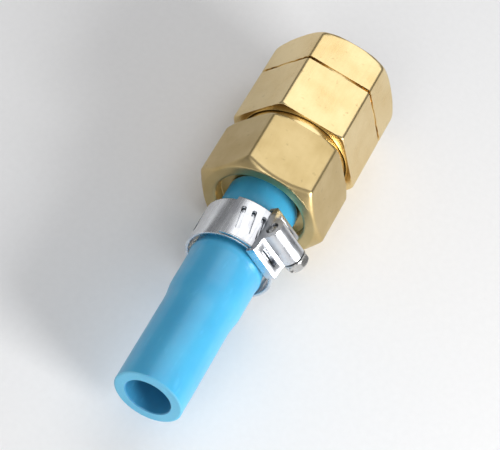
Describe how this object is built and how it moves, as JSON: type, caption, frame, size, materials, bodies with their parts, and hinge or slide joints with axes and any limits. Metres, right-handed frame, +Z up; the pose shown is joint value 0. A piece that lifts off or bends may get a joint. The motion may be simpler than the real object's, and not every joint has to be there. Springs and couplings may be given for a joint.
{
  "type": "quick disconnect coupler",
  "caption": "Brass quick disconnect air coupler with a hexagonal release sleeve and a barbed hex connector, on a short blue hose end held by a worm-drive clamp.",
  "frame": {"origin": "centre of the bottom of the bounding box: the level of the hexagons' lower flats, halfway along", "axes": "+X along the coupler's axis, out of the mouth; +Z up from the flats that it lies on"},
  "size_m": [0.0764, 0.0242, 0.0222],
  "materials": {
    "brass": "satin",
    "dark_brass": "satin",
    "ball_steel": "polished",
    "spring_steel": "satin",
    "rubber": "matte",
    "blue_hose": "satin",
    "zinc": "satin"
  },
  "bodies": {
    "coupler_body": {"socket_body": "brass", "rear_connector": "brass", "retaining_ring": "spring_steel", "plug_seal": "rubber", "body_seal": "rubber", "valve_guide": "dark_brass", "valve_spring": "spring_steel", "hose_end": "blue_hose", "clamp_band": "zinc", "clamp_housing": "zinc"},
    "sleeve_turner": {"sleeve_spring": "spring_steel"},
    "sleeve": {"release_sleeve": "brass"},
    "valve": {"valve_poppet": "dark_brass", "valve_seal": "rubber"},
    "ball_1": {"locking_ball_1": "ball_steel"},
    "ball_2": {"locking_ball_2": "ball_steel"},
    "ball_3": {"locking_ball_3": "ball_steel"},
    "ball_4": {"locking_ball_4": "ball_steel"},
    "ball_5": {"locking_ball_5": "ball_steel"},
    "ball_6": {"locking_ball_6": "ball_steel"},
    "worm": {"clamp_screw": "zinc"}
  },
  "joints": [
    {"name": "sleeve_spin", "type": "hinge", "parent": "coupler_body", "child": "sleeve_turner", "pos_m": [0.02325, 0, 0.0105], "axis": [1, 0, 0], "continuous": true},
    {"name": "sleeve_slide", "type": "slide", "parent": "sleeve_turner", "child": "sleeve", "axis": [-1, 0, 0], "range_m": [0, 0.0018], "stiffness_N_per_m": 3000, "springref_m": -0.003, "deforming": ["sleeve_spring"]},
    {"name": "valve_slide", "type": "slide", "parent": "coupler_body", "child": "valve", "axis": [-1, 0, 0], "range_m": [0, 0.0032], "stiffness_N_per_m": 1200, "springref_m": -0.003, "deforming": ["valve_spring"]},
    {"name": "ball_1_lift", "type": "slide", "parent": "coupler_body", "child": "ball_1", "axis": [0, 0, 1], "range_m": [0, 0.00085]},
    {"name": "ball_2_lift", "type": "slide", "parent": "coupler_body", "child": "ball_2", "axis": [0, 0.866, 0.5], "range_m": [0, 0.00085]},
    {"name": "ball_3_lift", "type": "slide", "parent": "coupler_body", "child": "ball_3", "axis": [0, 0.866, -0.5], "range_m": [0, 0.00085]},
    {"name": "ball_4_lift", "type": "slide", "parent": "coupler_body", "child": "ball_4", "axis": [0, 0, -1], "range_m": [0, 0.00085]},
    {"name": "ball_5_lift", "type": "slide", "parent": "coupler_body", "child": "ball_5", "axis": [0, -0.866, -0.5], "range_m": [0, 0.00085]},
    {"name": "ball_6_lift", "type": "slide", "parent": "coupler_body", "child": "ball_6", "axis": [0, -0.866, 0.5], "range_m": [0, 0.00085]},
    {"name": "clamp_screw_turn", "type": "hinge", "parent": "coupler_body", "child": "worm", "pos_m": [-0.00485, -0.006, 0.01846], "axis": [0, -0.7986, -0.6018], "continuous": true}
  ],
  "couplings": [
    {"joint": "ball_1_lift", "follows": "sleeve_slide", "ratio": 0.4722},
    {"joint": "ball_2_lift", "follows": "sleeve_slide", "ratio": 0.4722},
    {"joint": "ball_3_lift", "follows": "sleeve_slide", "ratio": 0.4722},
    {"joint": "ball_4_lift", "follows": "sleeve_slide", "ratio": 0.4722},
    {"joint": "ball_5_lift", "follows": "sleeve_slide", "ratio": 0.4722},
    {"joint": "ball_6_lift", "follows": "sleeve_slide", "ratio": 0.4722}
  ]
}
